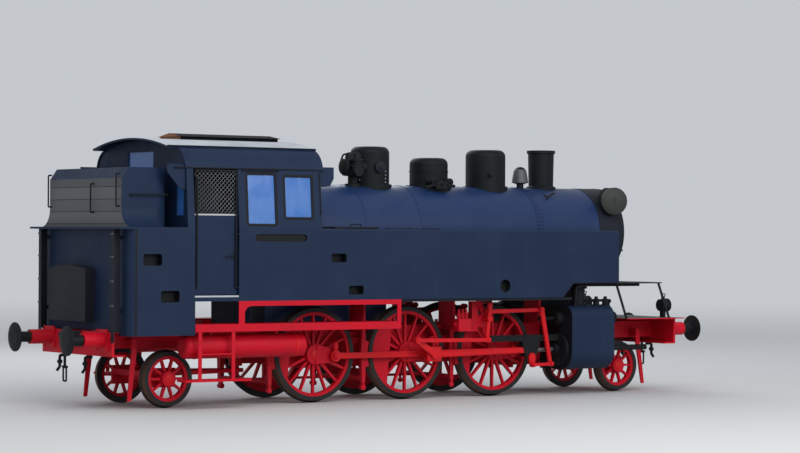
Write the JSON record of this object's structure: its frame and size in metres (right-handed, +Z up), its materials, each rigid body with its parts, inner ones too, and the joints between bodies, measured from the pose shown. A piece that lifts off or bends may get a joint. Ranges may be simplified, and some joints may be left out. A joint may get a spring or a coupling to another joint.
{
  "type": "steam locomotive",
  "caption": "Side-tank steam locomotive with outside cylinders and valve gear, coupled spoked driving wheels, guiding trucks, hollow cab and coal bunker.",
  "frame": {"origin": "midway between the buffer faces, on the centre line of the track, at the lowest point of the wheel flanges", "axes": "+X towards the chimney end, +Z up, the right side of the engine at -Y"},
  "size_m": [12.5, 3, 4.3],
  "materials": {
    "body_blue_black": "satin blue-black paint, weathered",
    "boiler_black": "semi-gloss blue-black paint",
    "black": "satin black paint, oily",
    "charcoal": "matt charcoal paint",
    "dark_steel": "dark oiled iron",
    "red": "gloss bright red paint, dusty",
    "roof_grey": "pale grey roof paint",
    "glass": "clear window glass",
    "tyre_steel": "rolled steel tread, rust-brown beside it"
  },
  "bodies": {
    "chassis": {"main_frame": "red", "buffer_beams": "red", "buffers": "black", "draw_hooks": "dark_steel", "boiler": "boiler_black", "ashpan": "dark_steel", "smokebox": "boiler_black", "smokebox_saddle": "black", "chimney": "charcoal", "steam_dome": "charcoal", "feed_dome": "charcoal", "sand_dome": "charcoal", "bell": "dark_steel", "turbo_generator": "charcoal", "side_tanks": "body_blue_black", "cab_floor": "dark_steel", "cab_sides": "body_blue_black", "cab_front": "body_blue_black", "cab_rear": "body_blue_black", "cab_roof": "roof_grey", "roof_ventilator": "roof_grey", "cab_glass": "glass", "bunker_lower": "body_blue_black", "bunker_upper": "body_blue_black", "bunker_fittings": "body_blue_black", "cylinders": "black", "main_rods": "red", "valve_gears": "red", "motion_brackets": "red", "running_boards": "red", "air_reservoirs": "red", "brake_rigging": "red", "front_platform": "red", "lamps": "black", "lubricator": "dark_steel"},
    "rear_truck": {"pony_truck_rear": "red"},
    "front_truck": {"pony_truck_front": "red"},
    "trailing_axle": {"wheels_trailing": "red", "tyres_trailing": "tyre_steel"},
    "leading_axle": {"wheels_leading": "red", "tyres_leading": "tyre_steel"},
    "rear_driving_axle": {"wheels_rear_driver": "red", "tyres_rear_driver": "tyre_steel"},
    "main_driving_axle": {"wheels_main_driver": "red", "tyres_main_driver": "tyre_steel"},
    "front_driving_axle": {"wheels_front_driver": "red", "tyres_front_driver": "tyre_steel"},
    "right_coupling_rod": {"coupling_rod_right": "red"},
    "left_coupling_rod": {"coupling_rod_left": "red"},
    "smokebox_door_leaf": {"smokebox_door": "boiler_black"},
    "right_tank_lid": {"tank_lid_right": "body_blue_black"},
    "left_tank_lid": {"tank_lid_left": "body_blue_black"},
    "right_cab_door": {"cab_door_right": "body_blue_black"},
    "left_cab_door": {"cab_door_left": "body_blue_black"}
  },
  "joints": [
    {"name": "rear_truck_swing", "type": "hinge", "parent": "chassis", "child": "rear_truck", "pos_m": [-2.725, 0, 0.453], "axis": [0, 0, 1], "range_deg": [-3, 3]},
    {"name": "front_truck_swing", "type": "hinge", "parent": "chassis", "child": "front_truck", "pos_m": [2.825, 0, 0.453], "axis": [0, 0, 1], "range_deg": [-3, 3]},
    {"name": "trailing_axle_turn", "type": "hinge", "parent": "rear_truck", "child": "trailing_axle", "pos_m": [-4.425, 0, 0.453], "axis": [0, 1, 0], "continuous": true},
    {"name": "leading_axle_turn", "type": "hinge", "parent": "front_truck", "child": "leading_axle", "pos_m": [4.575, 0, 0.453], "axis": [0, 1, 0], "continuous": true},
    {"name": "rear_driving_axle_turn", "type": "hinge", "parent": "chassis", "child": "rear_driving_axle", "pos_m": [-1.725, 0, 0.778], "axis": [0, 1, 0], "continuous": true},
    {"name": "main_driving_axle_turn", "type": "hinge", "parent": "chassis", "child": "main_driving_axle", "pos_m": [0.075, 0, 0.778], "axis": [0, 1, 0], "continuous": true},
    {"name": "front_driving_axle_turn", "type": "hinge", "parent": "chassis", "child": "front_driving_axle", "pos_m": [1.875, 0, 0.778], "axis": [0, 1, 0], "continuous": true},
    {"name": "right_coupling_rod_turn", "type": "hinge", "parent": "main_driving_axle", "child": "right_coupling_rod", "pos_m": [0.40374, -0.912, 0.74924], "axis": [0, 1, 0], "continuous": true},
    {"name": "left_coupling_rod_turn", "type": "hinge", "parent": "main_driving_axle", "child": "left_coupling_rod", "pos_m": [0.10376, 0.912, 1.10674], "axis": [0, 1, 0], "continuous": true},
    {"name": "smokebox_door_swing", "type": "hinge", "parent": "chassis", "child": "smokebox_door_leaf", "pos_m": [4.7903, -0.615, 2.778], "axis": [0, 0, -1], "range_deg": [0, 110]},
    {"name": "right_tank_lid_lift", "type": "hinge", "parent": "chassis", "child": "right_tank_lid", "pos_m": [-1.295, -0.95, 2.816], "axis": [-1, 0, 0], "range_deg": [0, 100]},
    {"name": "left_tank_lid_lift", "type": "hinge", "parent": "chassis", "child": "left_tank_lid", "pos_m": [-1.295, 0.95, 2.816], "axis": [1, 0, 0], "range_deg": [0, 100]},
    {"name": "right_cab_door_swing", "type": "hinge", "parent": "chassis", "child": "right_cab_door", "pos_m": [-4.34, -1.424, 2.3], "axis": [0, 0, 1], "range_deg": [0, 85]},
    {"name": "left_cab_door_swing", "type": "hinge", "parent": "chassis", "child": "left_cab_door", "pos_m": [-4.34, 1.424, 2.3], "axis": [0, 0, -1], "range_deg": [0, 85]}
  ],
  "couplings": [
    {"joint": "rear_driving_axle_turn", "follows": "main_driving_axle_turn", "ratio": 1},
    {"joint": "front_driving_axle_turn", "follows": "main_driving_axle_turn", "ratio": 1},
    {"joint": "right_coupling_rod_turn", "follows": "main_driving_axle_turn", "ratio": -1},
    {"joint": "left_coupling_rod_turn", "follows": "main_driving_axle_turn", "ratio": -1}
  ]
}
